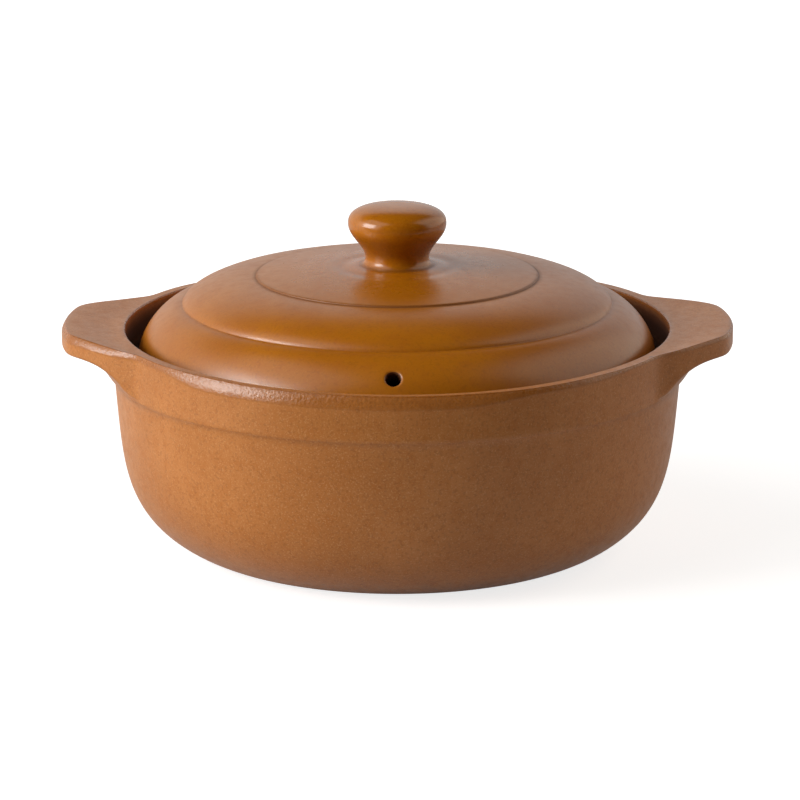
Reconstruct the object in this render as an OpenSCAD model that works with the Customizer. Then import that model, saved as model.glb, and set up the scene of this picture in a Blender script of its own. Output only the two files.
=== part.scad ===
// Shallow clay soup pot with two lug handles and a domed lid with a knob.
// Glazed stoneware. Millimetres, +Z up, +X along the handles.
// The origin is the middle of the foot, on the table.

/* [Pot] */
// Outside diameter of the rim collar
rim_dia = 246; // [232:1:262]
// Height of the rim above the table
pot_h = 96; // [86:1:116]
// Height of the collar that carries the handles
collar_h = 21.2; // [19:0.2:25]
// How far the collar stands out from the body below it
collar_step = 0.6; // [0.4:0.1:1.6]
// How much narrower the body's radius is low on the belly than at the collar
side_lean = 6.2; // [3:0.1:9]
// Diameter of the foot
foot_dia = 168; // [150:1:184]
// Power that sets how full the belly is
belly_power = 4.6; // [3.4:0.1:6]
// Power that sets how round the heel is
heel_power = 1.3; // [1.1:0.05:1.8]
// Thickness of the side wall
wall_t = 7; // [5:0.5:9]
// Thickness of the floor
floor_t = 8; // [6:0.5:10]
// Width of the ring that the pot stands on
foot_ring_w = 9; // [6:1:14]
// Depth of the hollow inside the foot ring
foot_recess = 1.5; // [1:0.5:3]

/* [Rim and ledge] */
// Thickness of the rim wall above the ledge
rim_t = 5.5; // [4.5:0.5:7]
// Radius of the rim's outer edge
rim_outer_round = 2.6; // [1:0.2:2.8]
// Radius of the rim's inner edge
rim_inner_round = 1.2; // [0.6:0.2:1.6]
// Depth of the lid's ledge below the rim
ledge_depth = 13; // [11:0.5:15]
// Width of the ledge, from the rim wall to the throat
ledge_w = 11; // [10:0.5:14]
// Radius at both edges of the ledge
ledge_round = 1.2; // [0.5:0.1:1.5]
// Height of the straight throat below the ledge
throat_h = 4; // [2:0.5:5]
// Height over which the throat opens out to the wall
throat_flare_h = 14; // [10:1:20]

/* [Lid] */
// Gap between the lid's edge and the rim wall
lid_gap = 5.9; // [4:0.1:7]
// Height of the lid's upright edge above the ledge
lid_edge_h = 2; // [1.6:0.2:4]
// Height of the lower tier's top above the ledge
lower_tier_h = 23.6; // [20:0.2:27]
// Height of the upper tier's top above the lower tier's
upper_tier_h = 11.5; // [9:0.5:14]
// Height of the step around the middle disc
disc_step_h = 0.8; // [0.5:0.1:1.5]
// Height of the middle disc's crown above its step
disc_crown_h = 4.3; // [3:0.1:6]
// Radius of the middle disc
disc_r = 60.8; // [54:0.2:66]
// Width of the lower tier, from the lid's edge to the upper tier
lower_tier_w = 19.1; // [15:0.5:22]
// Power that sets how full the two tiers are
tier_power = 1.65; // [1.5:0.05:2]
// Thickness of the lid in the middle
lid_t = 8; // [6:0.5:9]
// Power that sets how full the hollow under the lid is
hollow_power = 2.8; // [2.4:0.1:3]
// Radius of the lid's lower edge
lid_edge_round = 1.1; // [0.5:0.1:1.5]
// Depth of the locating ring below the ledge
locate_h = 5; // [3:0.5:8]
// Thickness of the locating ring
locate_t = 6.3; // [4.5:0.1:8]
// Clearance between the locating ring and the throat
locate_gap = 1.2; // [0.6:0.1:2]

/* [Steam vent] */
// Diameter of the vent
vent_dia = 6.2; // [4:0.2:8]
// Width of the softened edge around the vent
vent_edge = 0.9; // [0.4:0.1:1.5]
// Place of the vent on the lower tier, as an angle from the lid's edge to the tier's top
vent_angle = 43.5; // [38:0.5:50]
// Turn of the vent from the front, clockwise seen from above
vent_turn = 0.8; // [-20:0.1:20]

/* [Knob] */
// Largest diameter of the knob
knob_dia = 42.4; // [34:0.2:50]
// Diameter of the knob's neck
neck_dia = 27.4; // [20:0.2:30]
// Diameter of the flared foot of the neck
neck_foot_dia = 30.6; // [28:0.2:36]
// Height of the neck's narrowest point above the middle disc's crown
neck_h = 2.9; // [2:0.1:6]
// Height from the narrowest point up to the widest point
head_rise = 15; // [10:0.5:20]
// Height of the cap above the widest point
cap_h = 8.2; // [5:0.1:12]
// Power that sets how flat the cap is
cap_power = 2.65; // [2:0.05:3.2]

/* [Handles] */
// How far each handle stands out from the rim
handle_reach = 22; // [15:0.5:29]
// Width between the two straight sides, measured in line with the tip
handle_w = 52.6; // [44:0.2:60]
// Thickness of the handle at its tip
handle_t = 9; // [7:0.2:11]
// Height of the tip's top face above the rim
handle_lift = 2.1; // [0:0.1:4]
// Radius of the broad end
tip_round = 101; // [70:1:130]
// Radius of the end's two corners
corner_round = 12.5; // [8:0.5:16]
// Angle at the pot's axis, from the handle's middle to where a straight side meets the collar
root_angle = 31.4; // [26:0.2:36]
// Radius of the sweep from each side into the collar, seen from above
root_round = 23; // [15:1:35]
// Length of the curve that runs down from under the handle to the collar's lower edge
under_reach = 22.5; // [16:0.5:26]
// Power that sets how tightly that curve turns
under_power = 3; // [2:0.1:3.6]
// Width of the bevel along the handle's upper edge
edge_bevel_w = 2.2; // [0.8:0.1:3]
// Height of that bevel
edge_bevel_h = 3.2; // [1:0.1:4]
// Power that sets how full that bevel is
edge_bevel_power = 1.6; // [1.3:0.1:2.2]
// Radius of the lower edge
low_edge_round = 1.6; // [1:0.1:3]

/* [Hidden] */

// Smoothness: facets of a turned form, and steps of a curved outline
turn_fn = 180;
curve_steps = 18;
round_steps = 6;
overrun = 5;

// Pot
rim_r = rim_dia / 2;
body_r = rim_r - collar_step;
foot_r = foot_dia / 2;
collar_z = pot_h - collar_h;
mouth_r = rim_r - rim_t;
throat_r = mouth_r - ledge_w;
seat_z = pot_h - ledge_depth;
floor_z = foot_recess + floor_t;
flare_z = seat_z - throat_h - throat_flare_h;
inner_body_r = body_r - wall_t;
inner_foot_r = foot_r - wall_t;

// Lid
lid_r = mouth_r - lid_gap;
edge_z = seat_z + lid_edge_h;
shoulder_r = lid_r - lower_tier_w;
shoulder_z = seat_z + lower_tier_h;
step_z = shoulder_z + upper_tier_h;
disc_z = step_z + disc_step_h;
disc_flat_r = disc_r - disc_step_h;
crown_z = disc_z + disc_crown_h;
locate_r = throat_r - locate_gap;
hollow_r = locate_r - locate_t;
hollow_h = crown_z - lid_t - seat_z;

// Knob
knob_r = knob_dia / 2;
neck_r = neck_dia / 2;
neck_z = crown_z + neck_h;
head_z = neck_z + head_rise;

// Handle
tip_x = rim_r + handle_reach;
tip_under_z = pot_h + handle_lift - handle_t;
under_drop = tip_under_z - collar_z - collar_step;
root_in_r = rim_r - collar_step - rim_outer_round - 2 * low_edge_round;
// The outline crosses the collar at a shallow angle, so its sweep aims a little inside it
sweep_r = rim_r - collar_step - rim_outer_round / 2;
side_angle = atan2(sweep_r * sin(root_angle) - handle_w / 2, tip_x - sweep_r * cos(root_angle));
side_out = [sin(side_angle), cos(side_angle)];
side_run = [cos(side_angle), -sin(side_angle)];
side_dist = side_out * [tip_x, handle_w / 2];

// Points along a circular arc, as [x, y], from one angle to another
function arc(cx, cy, r, from, to, steps) =
    [for (i = [0 : steps]) let(a = from + (to - from) * i / steps) [cx + r * cos(a), cy + r * sin(a)]];

// A rounded quarter: from [r1, z0] up and inwards to [r0, z1], fuller as power grows.
// The list leaves out its first point, which is where the outline before it ends.
function quarter_at(r0, z0, r1, z1, power, a) =
    [r0 + (r1 - r0) * pow(cos(a), 2 / power), z0 + (z1 - z0) * pow(sin(a), 2 / power)];
function quarter(r0, z0, r1, z1, power, steps) =
    [for (i = [1 : steps]) quarter_at(r0, z0, r1, z1, power, 90 * i / steps)];

// Smooth step from 0 to 1
function ease(t) = (1 - cos(180 * t)) / 2;

// Radius of the belly at a share of its height, from the foot up to the collar
function belly(t, from_r, to_r) =
    from_r + (to_r - side_lean - from_r) * pow(1 - pow(1 - t, belly_power), 1 / heel_power)
    + side_lean * t;

// Shares of the belly's height, closer together near the heel
function belly_shares(steps) = [for (i = [0 : steps]) pow(i / steps, 2)];

function outer_belly() =
    [for (t = belly_shares(curve_steps)) [belly(t, foot_r, body_r), collar_z * t]];

function inner_belly_at(z) = belly((z - floor_z) / (collar_z - floor_z), inner_foot_r, inner_body_r);

function rim_outside() = arc(rim_r - rim_outer_round, pot_h - rim_outer_round, rim_outer_round,
    0, 90, round_steps);

// Outside of the pot, from the foot up to the top of the rim
function pot_outside() = concat(
    outer_belly(),
    [[rim_r, collar_z + collar_step]],
    rim_outside());

// Inside of the pot, from the rim down over the ledge and the throat to the floor
function pot_inside() = concat(
    arc(mouth_r + rim_inner_round, pot_h - rim_inner_round, rim_inner_round, 90, 180, round_steps),
    arc(mouth_r - ledge_round, seat_z + ledge_round, ledge_round, 0, -90, round_steps),
    arc(throat_r + ledge_round, seat_z - ledge_round, ledge_round, 90, 180, round_steps),
    [for (i = [0 : round_steps])
        let(t = i / round_steps)
        [throat_r + (inner_belly_at(flare_z) - throat_r) * ease(t),
            seat_z - throat_h - throat_flare_h * t]],
    [for (i = [1 : curve_steps])
        let(z = floor_z + (flare_z - floor_z) * pow(1 - i / curve_steps, 2))
        [inner_belly_at(z), z]]);

module pot_body() {
    color("peru")
    rotate_extrude($fn = turn_fn)
    polygon(concat(
        [[0, foot_recess],
            [foot_r - foot_ring_w - foot_recess, foot_recess],
            [foot_r - foot_ring_w, 0]],
        pot_outside(),
        pot_inside(),
        [[0, floor_z]]));
}

// Everything inside the pot's outer surface, for cutting the handles to fit it.
// Above the last point but one of the rim's rounding it goes straight up.
module pot_block() {
    edge = rim_outside()[round_steps - 1];
    rotate_extrude($fn = turn_fn)
    polygon(concat(
        [[0, 0]],
        outer_belly(),
        [[rim_r, collar_z + collar_step]],
        [for (i = [0 : round_steps - 1]) rim_outside()[i]],
        [[edge[0], pot_h + handle_lift + overrun], [0, pot_h + handle_lift + overrun]]));
}

// Centres of the handle outline's arcs, each touching the straight side
tip_c = [tip_x - tip_round, 0];
corner_in = side_dist - corner_round - side_out * tip_c;
corner_c = tip_c + side_out * corner_in
    + side_run * sqrt(pow(tip_round - corner_round, 2) - pow(corner_in, 2));
root_out = side_dist + root_round;
root_c = side_out * root_out + side_run * sqrt(pow(sweep_r + root_round, 2) - pow(root_out, 2));
corner_turn = atan2(corner_c[1], corner_c[0] - tip_c[0]);
side_turn = 90 - side_angle;
root_turn = atan2(root_c[1], root_c[0]);

// One half of the handle's outline seen from above, from the tip to the collar.
// Each entry is a point and the direction that faces outwards there.
function outline_arc(c, r, from, to, steps, facing) =
    [for (i = [0 : steps])
        let(a = from + (to - from) * i / steps, d = [cos(a), sin(a)])
        [c + r * d, facing * d]];
half_outline = concat(
    outline_arc(tip_c, tip_round, 0, corner_turn, 5, 1),
    [for (i = [1 : round_steps])
        outline_arc(corner_c, corner_round, corner_turn, side_turn, round_steps, 1)[i]],
    outline_arc(root_c, root_round, side_turn + 180, root_turn + 180, round_steps + 2, -1));
half_count = len(half_outline);
outline = concat(
    [for (i = [half_count - 1 : -1 : 1])
        let(p = half_outline[i])
        [[p[0][0], -p[0][1]], [p[1][0], -p[1][1]]]],
    half_outline);

// Height of the handle's top face and of its underside at a distance from the pot's axis
function top_z(r) = pot_h + handle_lift * ease(max(0, min(1, (r - rim_r) / (tip_x - rim_r))));
function under_z(r) = r < rim_r
    ? collar_z + collar_step + (rim_r - r)
    : tip_under_z - under_drop * pow(1 - min(1, (r - rim_r) / under_reach), under_power);

// Closed loop of points around one upright slice of the handle: in along the underside from
// the outline, then out along the top, with a round lower edge and a bevel along the upper one
function slice(entry) =
    let(p = entry[0],
        out = entry[1],
        top_in = p - out * edge_bevel_w,
        low_in = p - out * low_edge_round,
        top_r = norm(top_in),
        low_r = norm(low_in),
        top_at = top_z(top_r),
        low_at = under_z(low_r))
    concat(
        [for (i = [0 : round_steps - 2])
            let(a = 90 * i / (round_steps - 2), q = p - out * low_edge_round * (1 - cos(a)))
            [q[0], q[1], low_at + low_edge_round * (1 - sin(a))]],
        [for (i = [1 : round_steps + 2])
            let(t = pow(1 - i / (round_steps + 2), 1.5),
                r = root_in_r + (low_r - root_in_r) * t,
                q = low_in * r / low_r)
            [q[0], q[1], under_z(r)]],
        [for (i = [0 : 2])
            let(r = root_in_r + (top_r - root_in_r) * i / 3, q = top_in * r / top_r)
            [q[0], q[1], top_z(r)]],
        [for (i = [0 : round_steps - 2])
            let(a = 90 * i / (round_steps - 2),
                bevel = quarter_at(0, 0, edge_bevel_w, edge_bevel_h, edge_bevel_power, 90 - a),
                q = top_in + out * bevel[0])
            [q[0], q[1], top_at - edge_bevel_h + bevel[1]]]);

slices = [for (entry = outline) slice(entry)];
slice_count = len(slices);
loop_count = len(slices[0]);

// Skin between neighbouring slices, and a fan over each end
function skin_faces() = [
    for (i = [0 : slice_count - 2])
    for (j = [0 : loop_count - 1])
    let(k = (j + 1) % loop_count,
        a = i * loop_count + j,
        b = i * loop_count + k,
        c = a + loop_count,
        d = b + loop_count)
    each [[a, b, d], [a, d, c]]];
function end_faces() =
    let(last = (slice_count - 1) * loop_count)
    [for (j = [1 : loop_count - 2])
        each [[0, j, j + 1], [last, last + j + 1, last + j]]];

module handle() {
    difference() {
        polyhedron(points = [for (s = slices) each s], faces = concat(skin_faces(), end_faces()));
        pot_block();
    }
}

module right_handle() {
    color("peru")
    handle();
}

module left_handle() {
    color("peru")
    mirror([1, 0, 0])
    handle();
}

// Outside of the skirt, from its seat on the ledge up to the crease
function skirt_outside() = concat(
    arc(lid_r - lid_edge_round, seat_z + lid_edge_round, lid_edge_round, -90, 0, round_steps),
    [[lid_r, edge_z]],
    quarter(shoulder_r, edge_z, lid_r, shoulder_z, tier_power, curve_steps));

// Outside of the crown, from the crease up to the middle. It leaves out the crease itself.
function crown_outside() = concat(
    quarter(disc_r, shoulder_z, shoulder_r, step_z, tier_power, curve_steps),
    quarter(disc_flat_r, step_z, disc_r, disc_z, 2, round_steps),
    [for (i = [curve_steps - 1 : -1 : 0])
        let(t = i / curve_steps)
        [disc_flat_r * t, disc_z + disc_crown_h * (1 - t * t)]]);

// Hollow under the lid, between two angles of its rounded quarter, from the first to the second
function lid_hollow(from, to) =
    [for (i = [0 : curve_steps])
        quarter_at(0, seat_z, hollow_r, seat_z + hollow_h, hollow_power,
            from + (to - from) * i / curve_steps)];

// The skirt and the crown of the lid meet upright under the crease between its two tiers
crease_angle = acos(pow(shoulder_r / hollow_r, hollow_power / 2));

// A cutter along the lower tier's normal, through the lid at the vent
module vent_cut() {
    at = quarter_at(shoulder_r, edge_z, lid_r, shoulder_z, tier_power, vent_angle);
    slope = [pow((at[0] - shoulder_r) / lower_tier_w, tier_power - 1) / lower_tier_w,
        pow((at[1] - edge_z) / (shoulder_z - edge_z), tier_power - 1) / (shoulder_z - edge_z)];
    rotate(-90 - vent_turn)
    translate([at[0], 0, at[1]])
    rotate([0, atan2(slope[0], slope[1]), 0]) {
        translate([0, 0, -3 * lid_t])
        cylinder(h = 3 * lid_t + overrun, d = vent_dia, $fn = turn_fn / 3);
        translate([0, 0, -vent_edge])
        cylinder(h = 2 * vent_edge, r1 = vent_dia / 2, r2 = vent_dia / 2 + 2 * vent_edge,
            $fn = turn_fn / 3);
    }
}

module lid_skirt() {
    color("peru")
    difference() {
        rotate_extrude($fn = turn_fn)
        polygon(concat(
            [[hollow_r, seat_z - locate_h], [locate_r, seat_z - locate_h], [locate_r, seat_z]],
            skirt_outside(),
            lid_hollow(crease_angle, 0)));
        vent_cut();
    }
}

module lid_crown() {
    color("peru")
    rotate_extrude($fn = turn_fn)
    polygon(concat(
        [[shoulder_r, shoulder_z]],
        crown_outside(),
        lid_hollow(90, crease_angle)));
}

// Outline of the knob, from the foot of the neck to the top of the cap
function knob_outside() = concat(
    [for (i = [0 : round_steps])
        let(t = i / round_steps)
        [neck_r + (neck_foot_dia - neck_dia) / 2 * pow(1 - t, 2), crown_z + (neck_z - crown_z) * t]],
    [for (i = [1 : curve_steps])
        let(t = i / curve_steps)
        [neck_r + (knob_r - neck_r) * ease(t), neck_z + head_rise * t]],
    [for (i = [1 : curve_steps])
        quarter_at(0, head_z, knob_r, head_z + cap_h, cap_power, 90 * i / curve_steps)]);

module lid_knob() {
    color("peru")
    difference() {
        rotate_extrude($fn = turn_fn)
        polygon(concat(
            [[0, step_z], [neck_foot_dia / 2, step_z]],
            knob_outside()));
        rotate_extrude($fn = turn_fn)
        polygon(concat([[0, seat_z], [shoulder_r, seat_z], [shoulder_r, shoulder_z]], crown_outside()));
    }
}

pot_body();
left_handle();
right_handle();
lid_skirt();
lid_crown();
lid_knob();
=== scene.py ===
import math
import bmesh
import bpy
import numpy as np
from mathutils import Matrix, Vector, noise
from mathutils.kdtree import KDTree


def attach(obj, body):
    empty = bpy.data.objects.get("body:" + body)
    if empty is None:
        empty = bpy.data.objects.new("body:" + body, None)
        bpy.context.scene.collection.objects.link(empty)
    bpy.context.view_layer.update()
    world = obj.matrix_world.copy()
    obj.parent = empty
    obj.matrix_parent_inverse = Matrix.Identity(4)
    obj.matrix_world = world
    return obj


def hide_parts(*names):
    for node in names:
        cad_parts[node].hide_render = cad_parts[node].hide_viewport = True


# Sizes of the clay are in millimetres, as a potter would measure them; the scene is in metres
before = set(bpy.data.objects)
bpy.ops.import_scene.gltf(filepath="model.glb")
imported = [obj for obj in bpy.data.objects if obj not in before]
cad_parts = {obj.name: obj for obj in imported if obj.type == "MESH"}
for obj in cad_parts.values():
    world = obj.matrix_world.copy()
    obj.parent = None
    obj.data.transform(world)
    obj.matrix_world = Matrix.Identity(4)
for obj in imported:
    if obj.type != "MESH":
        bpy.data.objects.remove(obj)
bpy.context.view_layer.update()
print("stage: frame loaded")

mm = 0.001
closing = 2e-5       # metres within which two points are one
hair = 1e-3          # millimetres that make no difference
scene = bpy.context.scene
scene.view_settings.view_transform = "Standard"


cameraLook = {
    "picture": 800,       # pixels on a side
    "focal": 4500,        # in pixels
    "pitch": 14.47,       # degrees down
    "distance": 1.953,
    "aimHeight": 0.0622,
    "aimColumn": 397.2,   # pixel column where the pot's axis falls
    "sensor": 36,
}


def addCamera(look):
    data = bpy.data.cameras.new("photoCamera")
    data.sensor_width = look["sensor"]
    data.lens = look["sensor"] * look["focal"] / look["picture"]
    data.shift_x = (look["picture"] / 2 - look["aimColumn"]) / look["picture"]
    data.clip_end = 100
    obj = bpy.data.objects.new("photoCamera", data)
    pitch = math.radians(look["pitch"])
    obj.location = (0, -look["distance"] * math.cos(pitch),
                    look["aimHeight"] + look["distance"] * math.sin(pitch))
    obj.rotation_euler = (math.pi / 2 - pitch, 0, 0)
    scene.collection.objects.link(obj)
    scene.camera = obj


addCamera(cameraLook)


def quarterAt(r0, z0, r1, z1, power, angle):
    # a rounded quarter from (r1, z0) at 0 degrees to (r0, z1) at 90
    a = math.radians(angle)
    c, s = max(0.0, math.cos(a)), max(0.0, math.sin(a))
    return (r0 + (r1 - r0) * c ** (2 / power), z0 + (z1 - z0) * s ** (2 / power))


def sharesOf(steps):
    return [k / steps for k in range(steps + 1)]


def quarter(r0, z0, r1, z1, power, steps):
    return [quarterAt(r0, z0, r1, z1, power, 90 * t) for t in sharesOf(steps)]


def ease(t):
    t = min(1.0, max(0.0, t))
    return (1 - math.cos(math.pi * t)) / 2


def lengths(path):
    p = np.asarray(path, float)
    return np.concatenate([[0], np.cumsum(np.hypot(*(p[1:] - p[:-1]).T))])


def pointsAlong(path, places):
    p, run = np.asarray(path, float), lengths(path)
    return np.stack([np.interp(places, run, p[:, 0]), np.interp(places, run, p[:, 1])], 1)


def softCorner(before, after, reach, steps):
    # joins two paths that share an end point with a curve that starts reach back along each
    runA, runB = lengths(before)[-1], lengths(after)[-1]
    a, b = min(reach, runA * 0.98), min(reach, runB * 0.98)     # never quite the whole path
    start = pointsAlong(before, [runA - a])[0]
    end = pointsAlong(after, [b])[0]
    corner = np.asarray(after[0], float)
    curve = [(1 - t) ** 2 * start + 2 * t * (1 - t) * corner + t * t * end
             for t in np.linspace(0, 1, steps + 1)]
    head = [p for p, run in zip(before, lengths(before)) if run < runA - a - hair]
    tail = [p for p, run in zip(after, lengths(after)) if run > b + hair]
    return head, curve, tail


def chain(parts):
    # parts: path, (reach, steps), path, ... ; gives the joined path with soft corners
    path = [tuple(p) for p in parts[0]]
    marks = []                                  # where each soft corner lies
    for soft, nextPath in zip(parts[1::2], parts[2::2]):
        head, curve, tail = softCorner(path, nextPath, *soft)
        marks.append(tuple(curve[len(curve) // 2]))
        path = head + [tuple(p) for p in curve] + [tuple(p) for p in tail]
    return path, marks


def smoothStep(x, low, high):
    t = np.clip((x - low) / (high - low), 0, 1)
    return t * t * (3 - 2 * t)


def unevenness(x, y, z, scale, seed):
    # how much clay is missing, never less than none
    return max(0.0, 0.5 + noise.noise(Vector((x * scale + seed, y * scale, z * scale))))


def addPiece(name, mesh, body, nodes):
    piece = bpy.data.objects.new(name, mesh)
    scene.collection.objects.link(piece)
    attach(piece, body)
    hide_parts(*nodes)
    return piece


def setFloats(mesh, name, values):
    layer = mesh.attributes.new(name, "FLOAT", "POINT")
    layer.data.foreach_set("value", np.asarray(values, np.float32))


def nodeMaker(tree):
    def make(kind, inputs=None, **settings):
        node = tree.nodes.new(kind)
        for key, value in settings.items():
            setattr(node, key, value)
        for key, value in (inputs or {}).items():
            if isinstance(value, bpy.types.NodeSocket):
                tree.links.new(value, node.inputs[key])
            else:
                node.inputs[key].default_value = value
        return node
    return make


def mixColour(make, factor, a, b, blend="MIX"):
    node = make("ShaderNodeMix", {0: factor, 6: a, 7: b}, data_type="RGBA", blend_type=blend,
                clamp_factor=True)
    return node.outputs[2]


def calc(make, operation, a, b=0.0, clamp=False):
    return make("ShaderNodeMath", {0: a, 1: b}, operation=operation, use_clamp=clamp).outputs[0]


def rampOf(make, value, low, high):
    return make("ShaderNodeMapRange", {"Value": value, "From Min": low, "From Max": high},
                interpolation_type="SMOOTHSTEP").outputs["Result"]


def noiseOf(make, coords, scale, detail=2.0, rough=0.5, warp=0.0):
    return make("ShaderNodeTexNoise", {"Vector": coords, "Scale": scale, "Detail": detail,
                                       "Roughness": rough, "Distortion": warp}).outputs["Fac"]


def glazeMaterial(name, look):
    material = bpy.data.materials.new(name)
    material.use_nodes = True
    material.node_tree.nodes.clear()
    make = nodeMaker(material.node_tree)
    coords = make("ShaderNodeTexCoord").outputs["Object"]
    thinAndShade = make("ShaderNodeAttribute", attribute_name="thinGlazeAndShadeMask").outputs["Fac"]
    paintedShade = make("ShaderNodeAttribute", attribute_name="paintedShadeMask").outputs["Fac"]
    bare = make("ShaderNodeAttribute", attribute_name="bareClay").outputs["Fac"]
    polish = make("ShaderNodeAttribute", attribute_name="polish").outputs["Fac"]

    cloud, mottle, grain, fleck, peel = [noiseOf(make, coords, *look[key]) for key in (
        "cloudNoise", "mottleNoise", "grainNoise", "fleckNoise", "peelNoise")]
    speck = make("ShaderNodeTexVoronoi", {"Vector": coords, "Scale": look["speckScale"]})
    speckNear = rampOf(make, speck.outputs["Distance"], *look["speckFade"])
    speckSome = rampOf(make, make("ShaderNodeSeparateColor", {0: speck.outputs["Color"]}).outputs[0],
                       *look["speckShare"])

    def tint(under, factor, amount, over):
        return mixColour(make, calc(make, "MULTIPLY", factor, amount), under, look[over])

    # colour: clouded ground, mottle, pale grain, dark flecks, iron specks, painted shade in creases,
    # gaps, the vent and at the heel, and thin glaze that also carries painted shade under the knob's head
    colour = mixColour(make, rampOf(make, cloud, *look["cloudFade"]), look["deep"], look["light"])
    colour = tint(colour, rampOf(make, mottle, *look["mottleFade"]), look["mottle"], "rust")
    colour = tint(colour, rampOf(make, grain, *look["grainFade"]), look["grain"], "gold")
    colour = tint(colour, rampOf(make, fleck, *look["fleckFade"]), look["fleck"], "umberAndShade")
    colour = tint(colour, calc(make, "MULTIPLY", speckNear, speckSome), look["speck"], "ironAndShade")
    # painted shade: darker towards iron brown wherever the mask marks shade
    colour = tint(colour, paintedShade, look["shadeTint"], "ironAndShade")
    # thin glaze tints towards umber; the same layer carries painted shade under the knob's head
    grainy = calc(make, "MULTIPLY", rampOf(make, grain, *look["thinFade"]), look["thinGrain"])
    grainy = calc(make, "ADD", 1 - look["thinGrain"], grainy)
    colour = tint(colour, calc(make, "MULTIPLY", thinAndShade, grainy), look["thinAndShadeTint"], "umberAndShade")

    # bare clay with a ragged edge
    clay = mixColour(make, rampOf(make, grain, *look["clayFade"]), look["clayDark"], look["clayPale"])
    ragged = calc(make, "ADD", bare, calc(make, "MULTIPLY", grain, look["bareGrain"]))
    edgeOfBare = rampOf(make, ragged, *look["bareFade"])
    colour = mixColour(make, edgeOfBare, colour, clay)

    (fromLow, fromHigh), (smooth, dull) = look["roughFade"], look["rough"]
    rough = make("ShaderNodeMapRange", {"Value": mottle, "From Min": fromLow, "From Max": fromHigh,
                                        "To Min": smooth, "To Max": dull}).outputs["Result"]
    for layer, amount in ((thinAndShade, "thinRough"), (polish, "polishRough"), (paintedShade, "shadeRough")):
        rough = calc(make, "ADD", rough, calc(make, "MULTIPLY", layer, look[amount]), clamp=True)
    rough = make("ShaderNodeMix", {0: edgeOfBare, 2: rough, 3: look["clayRough"]}).outputs[0]

    # relief: orange peel and pinholes, with pits where the glaze is thin
    height = calc(make, "ADD", calc(make, "MULTIPLY", peel, look["peel"]),
                  calc(make, "MULTIPLY", grain, look["pit"]))
    height = calc(make, "ADD", height, calc(make, "MULTIPLY", calc(make, "MULTIPLY", thinAndShade, fleck),
                                            look["thinPit"]))
    bump = make("ShaderNodeBump", {"Strength": look["bump"], "Distance": look["bumpDepth"],
                                   "Height": height})
    shader = make("ShaderNodeBsdfPrincipled", {
        "Base Color": colour, "Roughness": rough, "Normal": bump.outputs["Normal"],
        "IOR": look["ior"]})
    make("ShaderNodeOutputMaterial", {"Surface": shader.outputs["BSDF"]})
    return material


potGlazeLook = {
    "deep": (0.46, 0.157, 0.027, 1), "light": (0.55, 0.200, 0.044, 1), "rust": (0.44, 0.125, 0.010, 1),
    "gold": (0.68, 0.35, 0.13, 1), "umberAndShade": (0.20, 0.052, 0.004, 1), "ironAndShade": (0.07, 0.018, 0.003, 1),
    "clayDark": (0.36, 0.22, 0.13, 1), "clayPale": (0.50, 0.34, 0.22, 1),
    # scale, detail, roughness and distortion of each noise
    "cloudNoise": (14, 3.0, 0.55, 0.4), "mottleNoise": (220, 3.0, 0.6), "grainNoise": (1500, 2.0, 0.6),
    "fleckNoise": (800, 1.0, 0.5), "peelNoise": (420, 2.0, 0.5), "speckScale": 150,
    # the noise values between which each shows
    "cloudFade": (0.35, 0.68), "mottleFade": (0.42, 0.70), "grainFade": (0.52, 0.72),
    "fleckFade": (0.48, 0.30), "speckFade": (0.22, 0.10), "speckShare": (0.996, 0.997),
    "thinFade": (0.40, 0.60), "clayFade": (0.4, 0.65), "bareFade": (0.5, 0.75),
    # how strongly each shows
    "mottle": 0.4, "grain": 0.5, "fleck": 0.25, "speck": 0.75, "shadeTint": 0.65, "thinAndShadeTint": 0.6,
    "thinGrain": 0.28, "bareGrain": 0.25,
    "roughFade": (0.3, 0.7), "rough": (0.32, 0.42), "clayRough": 0.88,
    "thinRough": -0.12, "polishRough": 0.0, "shadeRough": 0.45,
    "peel": 0.5, "pit": 0.5, "thinPit": 4.5, "bump": 0.2, "bumpDepth": 0.0003,
    "ior": 1.51,
}
lidGlazeLook = dict(potGlazeLook)
lidGlazeLook.update({
    "deep": (0.41, 0.123, 0.002, 1), "light": (0.49, 0.156, 0.003, 1), "rust": (0.41, 0.109, 0.002, 1),
    "gold": (0.54, 0.21, 0.02, 1), "umberAndShade": (0.16, 0.042, 0.002, 1),
    "grain": 0.3, "fleck": 0.16,
    "rough": (0.28, 0.35), "thinRough": 0.0, "polishRough": -0.12, "shadeRough": 0.2,
    "peel": 0.45, "pit": 0.2, "bump": 0.08,
    "ior": 1.57,
})
potGlaze = glazeMaterial("caramelGlazePot", potGlazeLook)
lidGlaze = glazeMaterial("caramelGlazeLid", lidGlazeLook)
print("stage: glazes mixed")


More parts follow.
